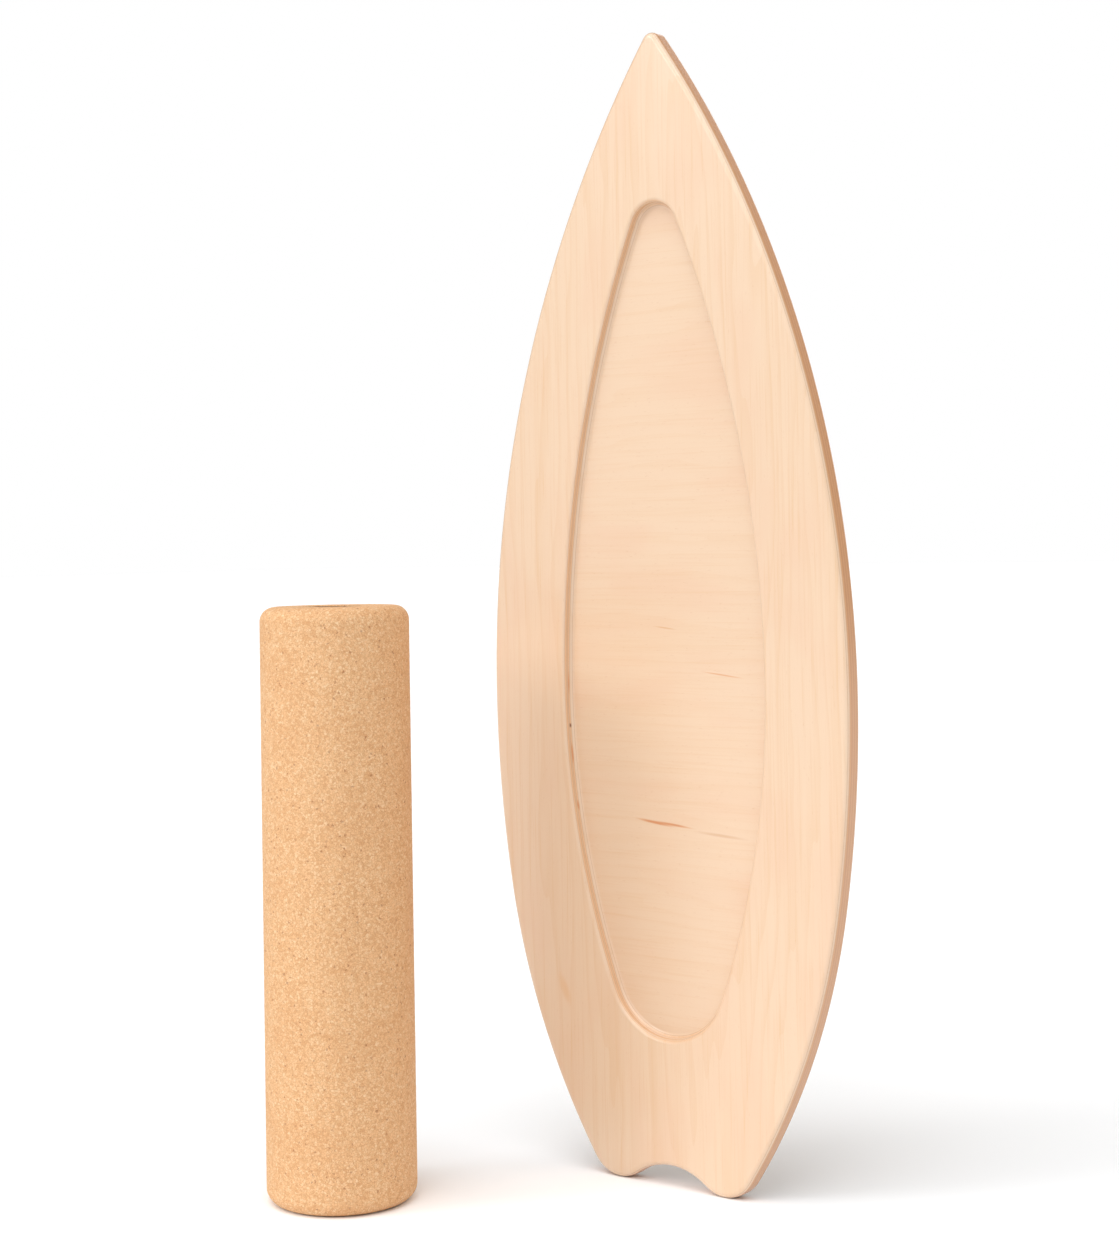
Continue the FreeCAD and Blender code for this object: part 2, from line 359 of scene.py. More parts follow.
@dataclass(frozen=True)
class LacqueredMaple:
    """Rotary-cut hard maple under a satin clear lacquer.

    The wood is cream with a faint, slightly darker growth figure and short fibre streaks.
    End grain drinks the lacquer, so a ply cut across its fibres shows orange-brown. The
    outer edge is painted darker than the recess's wall, which cuts the same plies: its
    colour is partly the sanded edge's own and partly painted shade, and the wall is kept
    near the face's colour as painted light. The lacquer gives a broad, soft sheen and
    hides nearly all relief.

    The peel is the veneer's place in the log. It and the ring width are in millimetres.
    Bare edge and open seam are pairs of cosines, between a surface's normal and the
    sheet's: at the first one they begin to show, and at the second they show fully.
    """

    name: str
    grain: Grain
    peel: tuple[float, float, float]
    glue_face: float
    ply: float
    middle: tuple[float, float, float]
    figure: float
    stains: tuple[Stain, ...] = ()
    ring_width: float = 12.0
    ring_stretch: float = 9.0
    stain_depth: float = 1.0
    # the rounds keep the face's colour, and only the steep part between them is bare edge
    bare_edge: tuple[float, float] = (0.55, 0.12)
    open_seam: tuple[float, float] = (0.97, 0.85)
    # glue lines are 0.1 mm thick; drawn 0.3 mm, to show
    glue_line: float = 0.3 * MM
    relief: float = 0.05 * MM
    relief_strength: float = 0.25
    roughness: tuple[float, float] = (0.34, 0.46)
    ior: float = 1.5
    coat: float = 0.9
    coat_roughness: float = 0.24
    pale: str = "#DFC2A5"
    late: str = "#D7AE83"
    blush: str = "#DDB799"
    end_grain: str = "#B9763F"
    # partly painted shade: the outer edge is painted darker than the recess's wall
    sanded_edge_and_shade: str = "#D49761"
    cut_wall: str = "#E0A267"
    glue: str = "#8E5228"

    @property
    def across(self) -> bool:
        """Say whether the fibres run across the deck."""
        return self.grain is Grain.CROSSWISE

    def figure_patterns(self, tree: bpy.types.NodeTree, place: bpy.types.NodeSocket) -> Patterns:
        """Draw what the wood itself shows, each pattern drawn out along the fibres.

        Args:
            tree: the material's node tree.
            place: the output that holds the place on the deck, in metres.

        Returns:
            The outputs of the patterns, by name.
        """
        # wood space, in millimetres: Z runs along the fibres
        turn = (0, math.radians(-90 if self.across else 0), 0)
        mapping = {"Vector": place, "Location": self.peel, "Rotation": turn, "Scale": TO_MM}
        wood = add_node(tree, "Mapping", mapping).outputs[0]
        # a wave's own period is pi / 10 of a unit
        period = self.ring_width * 10 / math.pi
        noise = {"Scale": 1.0, "Detail": 3.0}
        wave = {"Scale": 1.0, "Distortion": 11.0, "Detail": 2.0, "Detail Scale": 1.4}
        ringed = {"wave_type": "RINGS", "rings_direction": "Y", "wave_profile": "SAW"}
        # each pattern's width and length are in millimetres; fibres are 0.05 mm wide in the
        # wood, and drawn 1.2 mm wide, to show
        drawn = {
            "rings": ("TexWave", period, period * self.ring_stretch, wave, ringed),
            "fibre": ("TexNoise", 1.2, 60, noise, {}),
            "band": ("TexNoise", 11, 420, noise, {}),
            "cloud": ("TexNoise", 38, 95, noise, {}),
            "fleck": ("TexNoise", 0.8, 4, noise, {}),
        }
        patterns = {}
        for name, (kind, width, length, inputs, settings) in drawn.items():
            scale = (1 / width, 1 / width, 1 / length)
            stretched = add_node(tree, "Mapping", {"Vector": wood, "Scale": scale}).outputs[0]
            texture = add_node(tree, kind, {"Vector": stretched} | inputs, **settings)
            patterns[name] = texture.outputs["Fac"]
        return patterns

    def stain_patterns(self, tree: bpy.types.NodeTree, place: bpy.types.NodeSocket) -> Patterns:
        """Draw one long soft spot for each stain, deeper than the deck is thick.

        Args:
            tree: the material's node tree.
            place: the output that holds the place on the deck, in metres.

        Returns:
            The outputs of the spots, by the stain's number.
        """
        spots = {}
        for number, stain in enumerate(self.stains):
            mapping = {
                "Vector": place,
                "Location": (stain.place[0], self.glue_face, stain.place[1]),
                "Rotation": (0, stain.lean, 0),
                "Scale": (stain.size[0], self.stain_depth, stain.size[1]),
            }
            local = add_node(tree, "Mapping", mapping, vector_type="TEXTURE").outputs[0]
            spot = add_node(tree, "TexGradient", {"Vector": local}, gradient_type="SPHERICAL")
            spots[f"stain {number}"] = spot.outputs["Fac"]
        return spots

    def edge_patterns(self, tree: bpy.types.NodeTree, at: bpy.types.Node) -> Patterns:
        """Find the edges of the plies, their end grain and the glue between them.

        The deck's outer edge faces away from its middle, and the recess's wall towards it.

        Args:
            tree: the material's node tree.
            at: the texture coordinate node.

        Returns:
            The outputs of the patterns, by name.
        """
        place, normal = at.outputs["Object"], at.outputs["Normal"]
        spoke = add_node(tree, "VectorMath", {0: place, 1: self.middle}, operation="SUBTRACT").outputs[0]
        ways = {"out": spoke, "sheet": (0, 1, 0), "fibre": (1, 0, 0) if self.across else (0, 0, 1)}
        facing = {}
        for name, way in ways.items():
            product = add_node(tree, "VectorMath", {0: normal, 1: way}, operation="DOT_PRODUCT")
            facing[name] = product.outputs["Value"]
        sheet = add_node(tree, "Math", {0: facing["sheet"]}, operation="ABSOLUTE").outputs[0]
        fibre = add_node(tree, "Math", {0: facing["fibre"]}, operation="ABSOLUTE").outputs[0]
        outward = add_node(tree, "Math", {0: facing["out"], 1: 0.0}, operation="GREATER_THAN").outputs[0]
        inward = add_node(tree, "Math", {0: 1.0, 1: outward}, operation="SUBTRACT").outputs[0]
        ends = add_node(tree, "Math", {0: fibre, 1: outward}, operation="MULTIPLY").outputs[0]
        steep = {}
        for name, (begins, full) in (("edge", self.bare_edge), ("seam", self.open_seam)):
            span = {"Value": sheet, "From Min": begins, "From Max": full}
            steep[name] = add_node(tree, "MapRange", span).outputs[0]

        depth = add_node(tree, "SeparateXYZ", {0: place}).outputs["Y"]
        offset = add_node(tree, "Math", {0: depth, 1: self.glue_face}, operation="SUBTRACT").outputs[0]
        plies = add_node(tree, "Math", {0: offset, 1: self.ply}, operation="DIVIDE").outputs[0]
        nearest = add_node(tree, "Math", {0: plies, 1: 0.5}, operation="PINGPONG").outputs[0]
        half_line = self.glue_line / (2 * self.ply)
        line = {"Value": nearest, "From Max": half_line, "To Min": 1.0, "To Max": 0.0}
        glued = add_node(tree, "MapRange", line).outputs[0]

        crossings = {
            "outer edge": (steep["edge"], outward),
            "outer end grain": (steep["edge"], ends),
            "recess wall": (steep["edge"], inward),
            "recess end grain": (fibre, inward),
            "glue line": (steep["seam"], glued),
        }
        patterns = {}
        for name, (first, second) in crossings.items():
            crossing = add_node(tree, "Math", {0: first, 1: second}, operation="MULTIPLY")
            patterns[name] = crossing.outputs[0]
        return patterns

    def layers(self) -> list[Layer]:
        """List what lies over the pale wood: its figure, then its edges, then its stains.

        Returns:
            The layers, from the bottom up.
        """
        figure = [
            Layer("rings", self.late, 0.55, 1.0, self.figure),
            Layer("cloud", self.blush, 0.45, 0.7, 0.4),
            Layer("band", self.late, 0.5, 0.75, 0.85 * self.figure),
            Layer("fibre", self.late, 0.48, 0.78, 0.15 + self.figure),
            Layer("fleck", self.end_grain, 0.62, 0.8, 0.22),
        ]
        stains = [
            Layer(f"stain {number}", stain.colour, 0.0, 0.8, stain.strength)
            for number, stain in enumerate(self.stains)
        ]
        edges = [
            # painted shade on the outer edge, partly the sanded edge's own colour; the recess's wall and
            # its end grain stay near the face's colour, as painted light
            Layer("outer edge", self.sanded_edge_and_shade, 0.0, 1.0, 0.9),
            Layer("outer end grain", self.end_grain, 0.1, 0.95, 0.3),
            Layer("recess wall", self.cut_wall, 0.0, 1.0, 0.2),
            Layer("recess end grain", self.cut_wall, 0.1, 0.95, 0.35),
            Layer("glue line", self.glue, 0.0, 1.0, 0.5),
        ]
        return figure + edges + stains

    def build(self) -> bpy.types.Material:
        """Make the material.

        Returns:
            The lacquered maple of this veneer.
        """
        material, tree = new_tree(self.name)
        at = add_node(tree, "TexCoord")
        patterns = self.figure_patterns(tree, at.outputs["Object"])
        patterns |= self.stain_patterns(tree, at.outputs["Object"])
        patterns |= self.edge_patterns(tree, at)
        fibre = patterns["fibre"]
        bump = {"Height": fibre, "Strength": self.relief_strength, "Distance": self.relief}
        gloss = {"Value": fibre, "To Min": self.roughness[0], "To Max": self.roughness[1]}
        inputs = {
            "Base Color": lay_colours(tree, self.pale, self.layers(), patterns),
            "Roughness": add_node(tree, "MapRange", gloss).outputs[0],
            "Normal": add_node(tree, "Bump", bump).outputs[0],
            "IOR": self.ior,
            "Coat Weight": self.coat,
            "Coat Roughness": self.coat_roughness,
        }
        shader = add_node(tree, "BsdfPrincipled", inputs)
        add_node(tree, "OutputMaterial", {"Surface": shader.outputs[0]})
        return material


@dataclass(frozen=True)
class PressedCork:
    """Cork granules of 1 to 3 mm, pressed with a binder, turned and sanded.

    Each granule has its own tan, with a few bark-brown and a few straw-pale ones, and the
    sanded surface is matt. The drilled bore is painted dark brown, as painted shade inside it.

    Granules, specks and the wobble of their outlines are in millimetres. Drift, grit and
    cloud are noises, in their scales per millimetre.
    """

    axis: tuple[float, float]
    bore: float
    granule: float = 1.6
    speck: float = 1.2
    wobble: float = 1.5
    drift: float = 0.7
    grit: float = 1.2
    cloud: float = 0.03
    bore_margin: float = 0.8 * MM
    relief: float = 0.25 * MM
    relief_strength: float = 0.5
    roughness: float = 0.82
    ior: float = 1.4
    straw: str = "#E9CBA2"
    tan: str = "#E4B88A"
    deep: str = "#CC9664"
    bark: str = "#8E4C26"
    binder: str = "#B67B4B"
    # painted shade inside the bore
    bore_shade: str = "#6A4830"

    def patterns(self, tree: bpy.types.NodeTree) -> Patterns:
        """Draw the granules, the specks among them, the grit and the way from the axis.

        Args:
            tree: the material's node tree.

        Returns:
            The outputs of the patterns, by name.
        """
        at = add_node(tree, "TexCoord").outputs["Object"]
        size = add_node(tree, "Mapping", {"Vector": at, "Scale": TO_MM}).outputs[0]
        drift = add_node(tree, "TexNoise", {"Vector": size, "Scale": self.drift, "Detail": 1.0})
        moved = {0: drift.outputs["Color"], 1: (self.wobble,) * 3, 2: size}
        place = add_node(tree, "VectorMath", moved, operation="MULTIPLY_ADD").outputs[0]
        patterns = {}
        for name, grain in (("granule", self.granule), ("speck", self.speck)):
            cells = add_node(tree, "TexVoronoi", {"Vector": place, "Scale": 1 / grain})
            shades = add_node(tree, "SeparateColor", {0: cells.outputs["Color"]})
            patterns[f"{name} shade"] = shades.outputs[0]
            patterns[f"{name} depth"] = shades.outputs[1]
        for name, scale in (("grit", self.grit), ("cloud", self.cloud)):
            noise = add_node(tree, "TexNoise", {"Vector": size, "Scale": scale, "Detail": 3.0})
            patterns[name] = noise.outputs[0]
        cells = {"Vector": place, "Scale": 1 / self.granule}
        gaps = add_node(tree, "TexVoronoi", cells, feature="DISTANCE_TO_EDGE")
        patterns["gap"] = gaps.outputs["Distance"]
        axis = (*self.axis, 0)
        spoke = add_node(tree, "VectorMath", {0: at, 1: axis}, operation="SUBTRACT").outputs[0]
        level = add_node(tree, "VectorMath", {0: spoke, 1: (1, 1, 0)}, operation="MULTIPLY").outputs[0]
        reach = add_node(tree, "VectorMath", {0: level}, operation="LENGTH")
        patterns["reach"] = reach.outputs["Value"]
        return patterns

    def layers(self) -> list[Layer]:
        """List what lies over the tan: granules, specks and, last, the painted shade in the bore.

        Returns:
            The layers, from the bottom up.
        """
        return [
            Layer("granule shade", self.straw, 0.35, 1.0, 0.6),
            Layer("granule depth", self.deep, 0.5, 1.0, 0.6),
            Layer("cloud", self.deep, 0.45, 0.7, 0.2),
            Layer("grit", self.deep, 0.47, 0.68, 0.7),
            Layer("gap", self.binder, 0.12, 0.0, 0.5),
            Layer("speck depth", self.straw, 0.95, 0.98, 0.6),
            Layer("speck shade", self.bark, 0.984, 0.992, 0.5),
            # painted shade: the bore darkens to deep brown within a margin of its wall
            Layer("reach", self.bore_shade, self.bore + self.bore_margin, self.bore, 0.95),
        ]

    def build(self) -> bpy.types.Material:
        """Make the material.

        Returns:
            The cork of the roller.
        """
        material, tree = new_tree("pressed_cork")
        patterns = self.patterns(tree)
        heights = {0: patterns["gap"], 1: patterns["grit"]}
        height = add_node(tree, "Math", heights, operation="ADD").outputs[0]
        bump = {"Height": height, "Strength": self.relief_strength, "Distance": self.relief}
        inputs = {
            "Base Color": lay_colours(tree, self.tan, self.layers(), patterns),
            "Roughness": self.roughness,
            "Normal": add_node(tree, "Bump", bump).outputs[0],
            "IOR": self.ior,
        }
        shader = add_node(tree, "BsdfPrincipled", inputs)
        add_node(tree, "OutputMaterial", {"Surface": shader.outputs[0]})
        return material


# ---------------------------------------------------------------------------
# The deck
# ---------------------------------------------------------------------------

# the veneers that carry marks, counted from the recessed face: the recess's wall runs
# through WALL_PLY, and FLOOR_PLY is its floor
FACE_PLY, WALL_PLY, FLOOR_PLY = 0, 3, 5
MARKS = {
    FACE_PLY: (Stain((-0.0555, 0.1225), (0.0050, 0.0150), -0.39, "#D6994F", 0.3),),
    WALL_PLY: (
        # from 250 to 335 mm up, the left side of the recess's wall is drawn orange-brown, with one dark
        # brown spot
        Stain((-0.0525, 0.3050), (0.0060, 0.0022), 0.0, "#6E3618", 0.95),
        Stain((-0.0540, 0.3350), (0.0060, 0.0120), 0.0, "#CB7A42", 0.6),
        Stain((-0.0500, 0.2850), (0.0060, 0.0100), 0.0, "#CB7A42", 0.6),
        Stain((-0.0430, 0.2500), (0.0060, 0.0050), 0.0, "#CB7A42", 0.6),
    ),
    FLOOR_PLY: (
        Stain((0.0200, 0.2418), (0.0200, 0.0014), 0.12, "#C98250", 0.9),
        Stain((0.0350, 0.2412), (0.0210, 0.0012), 0.09, "#C98250", 0.85),
        Stain((0.0750, 0.2365), (0.0260, 0.0016), 0.06, "#C08A5C", 0.4),
        Stain((0.0316, 0.3737), (0.0120, 0.0008), 0.11, "#C9905E", 0.5),
        Stain((0.0780, 0.3430), (0.0210, 0.0008), 0.11, "#D08A58", 0.6),
    ),
}

# how strongly the figure shows, by the way that the fibres run
FIGURE = {Grain.LENGTHWISE: 0.26, Grain.CROSSWISE: 0.12}
# where the first veneer lies in the log, and how far the next one lies from it, in millimetres
FIRST_PEEL = (-60.0, 0.0, -520.0)
PEEL_STEP = (37.0, 61.0, 113.0)


@dataclass
class Deck:
    """The surf-shaped plywood deck, machined as one blank and sliced into its veneers.

    The widest points and the shoulder are heights above the tail, and a margin runs from
    the nose or the tail to the recess.
    """

    veneers: tuple[str, ...]
    nose_radius: float = 7 * MM
    widest: float = 332 * MM
    flank_radius: float = 830 * MM
    shoulder: float = 190 * MM
    shoulder_radius: float = 465 * MM
    lobe_radius: float = 25.3 * MM
    notch_radius: float = 49 * MM
    edge_round: float = 4 * MM
    recess_half_width: float = 86.5 * MM
    recess_nose_margin: float = 113 * MM
    recess_tail_margin: float = 95 * MM
    recess_widest: float = 337 * MM
    recess_nose_radius: float = 22.3 * MM
    recess_tail_radius: float = 50.1 * MM
    recess_depth: float = 7.3 * MM
    rim_round: float = 3 * MM
    cove_round: float = 3.8 * MM
    chord: float = 3 * MM
    least_chords: int = 14
    round_segments: int = 12
    crease: float = math.radians(20)

    def __post_init__(self) -> None:
        """Read the deck's place and overall size from its nodes."""
        corners = [corner for name in self.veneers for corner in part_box(name)]
        self.low = Vector(map(min, *corners))
        self.high = Vector(map(max, *corners))
        self.length = self.high.z - self.low.z
        self.half_width = (self.high.x - self.low.x) / 2
        self.thickness = self.high.y - self.low.y
        self.ply = self.thickness / len(self.veneers)

    def outline(self) -> bpy.types.Object:
        """Draw the board's outline: nose, flanks, shoulders, tail lobes and notch.

        Returns:
            An object that holds the outline as one closed loop of edges.
        """
        nose_height = self.length - self.nose_radius
        upper = Flank(self.half_width, self.widest, self.nose_radius, nose_height)
        lower_centre = (self.half_width - self.flank_radius, self.widest)
        lower_turn = math.asin((self.widest - self.shoulder) / self.flank_radius)
        inset = self.flank_radius - self.shoulder_radius
        shoulder_centre = (
            lower_centre[0] + inset * math.cos(lower_turn),
            self.widest - inset * math.sin(lower_turn),
        )
        reach = self.shoulder_radius - self.lobe_radius
        drop = shoulder_centre[1] - self.lobe_radius
        lobe_x = shoulder_centre[0] + math.sqrt(reach**2 - drop**2)
        lobe_start = math.asin(drop / reach)
        notch_turn = math.asin(lobe_x / (self.lobe_radius + self.notch_radius))
        notch_height = self.lobe_radius - lobe_x / math.tan(notch_turn)
        lobe_turn = math.pi / 2 + notch_turn - lobe_start
        arcs = [
            Arc((0, nose_height), math.pi / 2 - upper.turn, self.nose_radius),
            Arc(upper.centre, upper.turn, upper.radius),
            Arc(lower_centre, lower_turn, self.flank_radius),
            Arc(shoulder_centre, lobe_start - lower_turn, self.shoulder_radius),
            Arc((lobe_x, self.lobe_radius), lobe_turn, self.lobe_radius),
            Arc((0, notch_height), -notch_turn, self.notch_radius),
        ]
        return Pencil(self.chord, self.least_chords).draw("outline", self.length, arcs)

    def recess_outline(self) -> bpy.types.Object:
        """Draw the recess's wall, inside the round of its rim.

        Returns:
            An object that holds the wall's outline as one closed loop of edges.
        """
        upper, lower = self.recess_flanks(self.rim_round)
        arcs = [
            Arc((0, upper.cap_height), math.pi / 2 - upper.turn, upper.cap_radius),
            Arc(upper.centre, upper.turn, upper.radius),
            Arc(lower.centre, lower.turn, lower.radius),
            Arc((0, lower.cap_height), math.pi / 2 - lower.turn, lower.cap_radius),
        ]
        start = upper.cap_height + upper.cap_radius
        return Pencil(self.chord, self.least_chords).draw("recess_outline", start, arcs)

    def recess_flanks(self, inset: float) -> tuple[Flank, Flank]:
        """Work out the recess's long arcs.

        Args:
            inset: how far inside the recess's outer outline they run.

        Returns:
            The arc from the widest point to the nose, and the one to the tail.
        """
        half_width = self.recess_half_width - inset
        nose_height = self.length - self.recess_nose_margin - self.recess_nose_radius
        tail_height = self.recess_tail_margin + self.recess_tail_radius
        return (
            Flank(half_width, self.recess_widest, self.recess_nose_radius - inset, nose_height),
            Flank(half_width, self.recess_widest, self.recess_tail_radius - inset, tail_height),
        )

    def recess_reach(self, height: float) -> float:
        """Give half the recess's width at a height, the rim's round included.

        Args:
            height: the height above the tail.

        Returns:
            How far the recess reaches from the middle line.
        """
        upper, lower = self.recess_flanks(0)
        flank = upper if height > self.recess_widest else lower
        rise = height - self.recess_widest
        return flank.centre[0] + math.sqrt(max(flank.radius**2 - rise**2, 0))

    def in_recess(self, place: Vector) -> bool:
        """Say whether a corner of the blank lies within the recess's wall, or on it.

        Args:
            place: where the corner is, the blank's tail being at the origin.

        Returns:
            True for a corner of the recess.
        """
        low = self.recess_tail_margin
        high = self.length - self.recess_nose_margin
        return low < place.z < high and abs(place.x) < self.recess_reach(place.z)

    def at_depth(self, depth: float, recess: bool) -> CornerTest:
        """Make a test for the corners at one depth, in the recess or on the outer edge."""
        return lambda place: abs(place.y - depth) < NEAR and self.in_recess(place) is recess

    def machine_blank(self) -> bpy.types.Object:
        """Make the whole deck in one piece, with its recess and its rounded edges.

        Returns:
            A closed mesh, its tail at the origin and its recessed face at Y = 0.
        """
        blank = self.outline()
        rim = self.recess_outline()
        take(blank)
        rim.select_set(True)
        bpy.ops.object.join()
        bpy.ops.object.mode_set(mode="EDIT")
        bpy.ops.mesh.select_mode(type="EDGE")
        bpy.ops.mesh.select_all(action="SELECT")
        bpy.ops.mesh.fill(use_beauty=True)

        pick(blank, Element.EDGE, self.at_depth(0, True))
        bpy.ops.mesh.edge_face_add()
        bpy.ops.mesh.extrude_region_move(TRANSFORM_OT_translate={"value": (0, self.recess_depth, 0)})
        pick(blank, Element.EDGE, self.at_depth(0, False))
        bpy.ops.mesh.extrude_edges_move(TRANSFORM_OT_translate={"value": (0, self.thickness, 0)})
        pick(blank, Element.EDGE, self.at_depth(self.thickness, False))
        bpy.ops.mesh.edge_face_add()
        bpy.ops.mesh.select_all(action="SELECT")
        bpy.ops.mesh.normals_make_consistent(inside=False)

        rounds = [
            (0, False, self.edge_round),
            (self.thickness, False, self.edge_round),
            (0, True, self.rim_round),
            (self.recess_depth, True, self.cove_round),
        ]
        for depth, recess, radius in rounds:
            pick(blank, Element.EDGE, self.at_depth(depth, recess))
            bpy.ops.mesh.bevel(
                offset=radius,
                segments=self.round_segments,
                affect="EDGES",
                clamp_overlap=False,
                loop_slide=False,
            )
        bpy.ops.object.mode_set(mode="OBJECT")
        return blank

    def slice_veneers(self, blank: bpy.types.Object) -> list[bpy.types.Object]:
        """Cut the blank along its glue lines.

        Args:
            blank: the machined deck.

        Returns:
            One closed piece per veneer, from the recessed face to the standing face.
        """
        take(blank)
        bpy.ops.object.mode_set(mode="EDIT")
        bpy.ops.mesh.select_all(action="SELECT")
        middle = (self.low.x + self.high.x) / 2
        bpy.ops.transform.translate(value=(middle, self.low.y, self.low.z))
        bpy.ops.object.mode_set(mode="OBJECT")
        pieces = []
        for index, name in enumerate(self.veneers):
            take(blank)
            bpy.ops.object.duplicate()
            piece = bpy.context.object
            piece.name = f"{name}_wood"
            bpy.ops.object.mode_set(mode="EDIT")
            front = self.low.y + index * self.ply
            cuts = []
            if index > 0:
                cuts.append((front, {"clear_inner": True}))
            if index < len(self.veneers) - 1:
                cuts.append((front + self.ply, {"clear_outer": True}))
            for depth, waste in cuts:
                bpy.ops.mesh.select_all(action="SELECT")
                bpy.ops.mesh.bisect(
                    plane_co=(0, depth, 0),
                    plane_no=(0, 1, 0),
                    use_fill=True,
                    threshold=CUT_CLEARANCE,
                    **waste,
                )
            bpy.ops.mesh.select_all(action="SELECT")
            bpy.ops.mesh.normals_make_consistent(inside=False)
            bpy.ops.object.mode_set(mode="OBJECT")
            finish_surface(piece, self.crease)
            pieces.append(piece)
        bpy.data.objects.remove(blank)
        return pieces

    def finish_of(self, index: int) -> LacqueredMaple:
        """Choose the finish of one veneer.

        Args:
            index: the veneer's place in the stack, counted from the recessed face.

        Returns:
            Its wood, with its own stretch of the log and its own marks.
        """
        grain = Grain.CROSSWISE if index % 2 else Grain.LENGTHWISE
        return LacqueredMaple(
            name=f"lacquered_maple_ply_{index + 1:02d}",
            grain=grain,
            peel=tuple(first + index * step for first, step in zip(FIRST_PEEL, PEEL_STEP)),
            glue_face=self.low.y,
            ply=self.ply,
            middle=tuple((self.low + self.high) / 2),
            figure=FIGURE[grain],
            stains=MARKS.get(index, ()),
        )

    def build(self) -> list[bpy.types.Object]:
        """Make the veneers, dress them and put them in place of their nodes.

        Returns:
            The finished veneers, from the recessed face to the standing face.
        """
        pieces = self.slice_veneers(self.machine_blank())
        for index, (name, piece) in enumerate(zip(self.veneers, pieces)):
            piece.data.materials.clear()
            piece.data.materials.append(self.finish_of(index).build())
            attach(piece, "deck")
            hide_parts(name)
        return pieces


# ---------------------------------------------------------------------------
# The roller
# ---------------------------------------------------------------------------


def from_axis(place: Vector) -> float:
    """Give a corner's distance from the Z axis."""
    return math.hypot(place.x, place.y)


@dataclass
class Roller:
    """The turned cork tube that the deck rolls on."""

    node: str = "cork_roller"
    slot: str = "cork"
    bore_radius: float = 20 * MM
    end_round: float = 10 * MM
    bore_round: float = 1.5 * MM
    sides: int = 240
    # the wall's long edges are cut this often, and then every part of them once more
    length_cuts: int = 15
    cut_rounds: int = 2
    round_segments: int = 12
    bore_segments: int = 4
    granule: float = 2.2 * MM
    pit_depth: float = 0.25 * MM
    crease: float = math.radians(40)

    def turn_tube(self) -> bpy.types.Object:
        """Turn the tube: outer wall, bored through, both ends and bore edges rounded.

        Returns:
            A closed tube in the place of its node.
        """
        low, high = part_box(self.node)
        radius = (high.x - low.x) / 2
        length = high.z - low.z
        clear_selection()
        bpy.ops.mesh.primitive_cylinder_add(vertices=self.sides, radius=radius, depth=length)
        tube = bpy.context.object
        tube.name = f"{self.node}_body"
        bpy.ops.object.mode_set(mode="EDIT")
        ends = (-length / 2, length / 2)
        for end in ends:
            pick(tube, Element.FACE, self.on_disc(end, radius))
            bpy.ops.mesh.inset(thickness=radius - self.bore_radius)
            bpy.ops.mesh.delete(type="ONLY_FACE")
        widest_bore = (1 + RING_SHARE) * self.bore_radius
        pick(tube, Element.EDGE, lambda place: from_axis(place) < widest_bore)
        bpy.ops.mesh.bridge_edge_loops()
        rounds = [
            (radius, self.end_round, self.round_segments),
            (self.bore_radius, self.bore_round, self.bore_segments),
        ]
        for end in ends:
            for rim, size, segments in rounds:
                pick(tube, Element.EDGE, self.on_rim(end, rim))
                bpy.ops.mesh.bevel(
                    offset=size, segments=segments, affect="EDGES", profile=0.5, clamp_overlap=False
                )
        self.divide(tube, radius, length)
        bpy.ops.mesh.select_all(action="SELECT")
        bpy.ops.mesh.normals_make_consistent(inside=False)
        bpy.ops.transform.translate(value=(low + high) / 2)
        bpy.ops.object.mode_set(mode="OBJECT")
        return tube

    def on_disc(self, end: float, radius: float) -> CornerTest:
        """Make a test for the corners on one end that lie within a radius, or on it."""
        return lambda place: abs(place.z - end) < NEAR and from_axis(place) < (1 + RING_SHARE) * radius

    def on_rim(self, end: float, radius: float) -> CornerTest:
        """Make a test for the corners on one end that lie on a radius."""
        disc = self.on_disc(end, radius)
        return lambda place: disc(place) and from_axis(place) > (1 - RING_SHARE) * radius

    def divide(self, tube: bpy.types.Object, radius: float, length: float) -> None:
        """Divide the straight outer wall finely enough for the granules.

        Args:
            tube: the tube, open in edit mode, its middle at the origin.
            radius: its outer radius.
            length: its whole length.
        """
        wall_end = length / 2 - self.end_round + NEAR
        within = (1 - RING_SHARE) * radius
        for _ in range(self.cut_rounds):
            pick(tube, Element.EDGE, lambda place: abs(place.z) < wall_end and from_axis(place) > within)
            for edge in bmesh.from_edit_mesh(tube.data).edges:
                if abs(edge.verts[0].co.z - edge.verts[1].co.z) < NEAR:
                    edge.select = False
            bmesh.update_edit_mesh(tube.data)
            bpy.ops.mesh.subdivide(number_cuts=self.length_cuts)

    def roughen(self, tube: bpy.types.Object) -> None:
        """Sink shallow pits between the granules into the surface.

        Args:
            tube: the tube, whose surface is sunk.
        """
        grit = bpy.data.textures.new("cork_granules", "VORONOI")
        grit.noise_scale = self.granule
        take(tube)
        bpy.ops.object.modifier_add(type="DISPLACE")
        pits = tube.modifiers[-1]
        pits.texture = grit
        pits.strength = self.pit_depth
        pits.mid_level = 1.0
        bpy.ops.object.modifier_apply(modifier=pits.name)

    def build(self) -> bpy.types.Object:
        """Make the roller, dress it and put it in place of its node.

        Returns:
            The finished roller.
        """
        tube = self.turn_tube()
        self.roughen(tube)
        take(tube)
        bpy.ops.object.shade_smooth_by_angle(angle=self.crease)
        tube.data.materials.clear()
        low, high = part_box(self.node)
        middle = (low + high) / 2
        tube.data.materials.append(PressedCork((middle.x, middle.y), self.bore_radius).build())
        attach(tube, "roller")
        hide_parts(self.node)
        return tube


# ---------------------------------------------------------------------------
# The studio
# ---------------------------------------------------------------------------


@dataclass(frozen=True)
class Softlight:
    """One very soft light: where it comes from and how wide it is, in degrees, and how strong.

    Its azimuth is measured from the -Y side, positive towards +X.
    """

    name: str
    azimuth: float
    elevation: float
    width: float
    strength: float


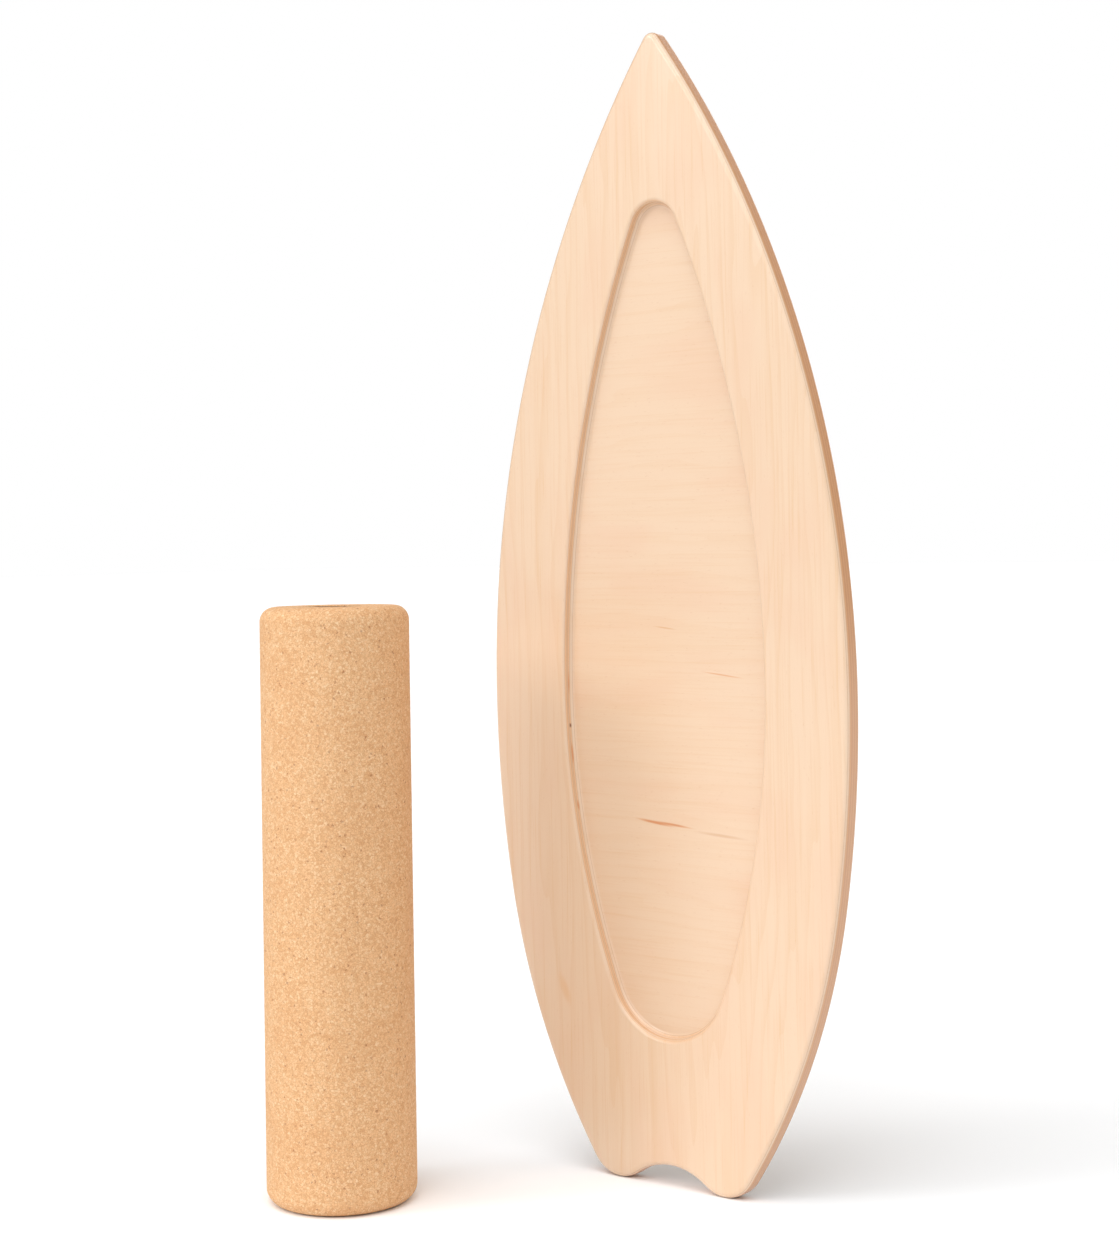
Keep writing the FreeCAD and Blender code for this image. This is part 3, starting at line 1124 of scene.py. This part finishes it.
@dataclass
class Studio:
    """The pale floor, the soft lights, the white surroundings and the camera.

    The camera's yaw, lift and roll are in radians, and its lens is in millimetres.
    """

    camera_place: tuple[float, float, float] = (0.9432, -1.1266, 0.4324)
    yaw: float = 0.6856
    lift: float = 0.0323
    roll: float = -0.0173
    lens: float = 64.73
    shift_down: float = -0.1237
    sky_strength: float = 0.34
    floor_size: float = 60.0
    floor_colour: str = "#FCFDFE"
    floor_roughness: float = 0.9
    floor_gloss: float = 0.1
    lights: tuple[Softlight, ...] = (
        Softlight("key", azimuth=-10, elevation=53, width=74, strength=1.95),
        Softlight("low_window", azimuth=-33, elevation=24, width=20, strength=0.65),
        Softlight("side_fill", azimuth=62, elevation=54, width=60, strength=0.85),
        Softlight("back_fill", azimuth=-168, elevation=12, width=50, strength=0.7),
    )

    def place_camera(self) -> None:
        """Stand the camera a little above the deck's middle, looking slightly up."""
        view = bpy.data.cameras.new("camera")
        view.lens = self.lens
        view.shift_y = self.shift_down
        camera = bpy.data.objects.new("camera", view)
        bpy.context.scene.collection.objects.link(camera)
        camera.matrix_world = (
            Matrix.Translation(self.camera_place)
            @ Matrix.Rotation(self.yaw, 4, "Z")
            @ Matrix.Rotation(math.pi / 2 + self.lift, 4, "X")
            @ Matrix.Rotation(self.roll, 4, "Z")
        )
        bpy.context.scene.camera = camera

    def hang_light(self, light: Softlight) -> None:
        """Hang one soft light.

        Args:
            light: where the light comes from, how wide it is and how strong.
        """
        lamp = bpy.data.lights.new(light.name, "SUN")
        lamp.angle = math.radians(light.width)
        lamp.energy = light.strength
        hung = bpy.data.objects.new(light.name, lamp)
        bpy.context.scene.collection.objects.link(hung)
        tilt = math.radians(90 - light.elevation)
        hung.rotation_euler = (tilt, 0, math.radians(light.azimuth))

    def lay_floor(self) -> None:
        """Lay the pale floor."""
        clear_selection()
        bpy.ops.mesh.primitive_plane_add(size=self.floor_size)
        floor = bpy.context.object
        floor.name = "studio_floor"
        material, tree = new_tree("matt_white_paper")
        inputs = {
            "Base Color": linear(self.floor_colour),
            "Roughness": self.floor_roughness,
            "Specular IOR Level": self.floor_gloss,
        }
        shader = add_node(tree, "BsdfPrincipled", inputs)
        add_node(tree, "OutputMaterial", {"Surface": shader.outputs[0]})
        floor.data.materials.append(material)

    def paint_sky(self) -> None:
        """Surround the scene with a white that shows at full strength and lights more softly."""
        world = bpy.data.worlds.new("white_studio")
        world.use_nodes = True
        tree = world.node_tree
        seen = add_node(tree, "LightPath").outputs["Is Camera Ray"]
        span = {"Value": seen, "To Min": self.sky_strength, "To Max": 1.0}
        strength = add_node(tree, "MapRange", span).outputs[0]
        sky = tree.nodes["Background"]
        sky.inputs["Color"].default_value = (1, 1, 1, 1)
        tree.links.new(strength, sky.inputs["Strength"])
        bpy.context.scene.world = world

    def build(self) -> None:
        """Set up the floor, the lights and the camera."""
        bpy.context.scene.view_settings.view_transform = "Standard"
        self.paint_sky()
        self.lay_floor()
        for light in self.lights:
            self.hang_light(light)
        self.place_camera()


def main() -> None:
    """Build the deck, the roller and the studio, and log how many faces each piece has."""
    logging.basicConfig(level=logging.INFO, format="%(name)s: %(message)s")
    roller = Roller()
    names = [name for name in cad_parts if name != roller.node]
    veneers = tuple(sorted(names, key=lambda name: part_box(name)[0].y))
    for piece in [*Deck(veneers).build(), roller.build()]:
        LOG.info("%s: %d faces", piece.name, len(piece.data.polygons))
    Studio().build()


if __name__ == "__main__":
    main()
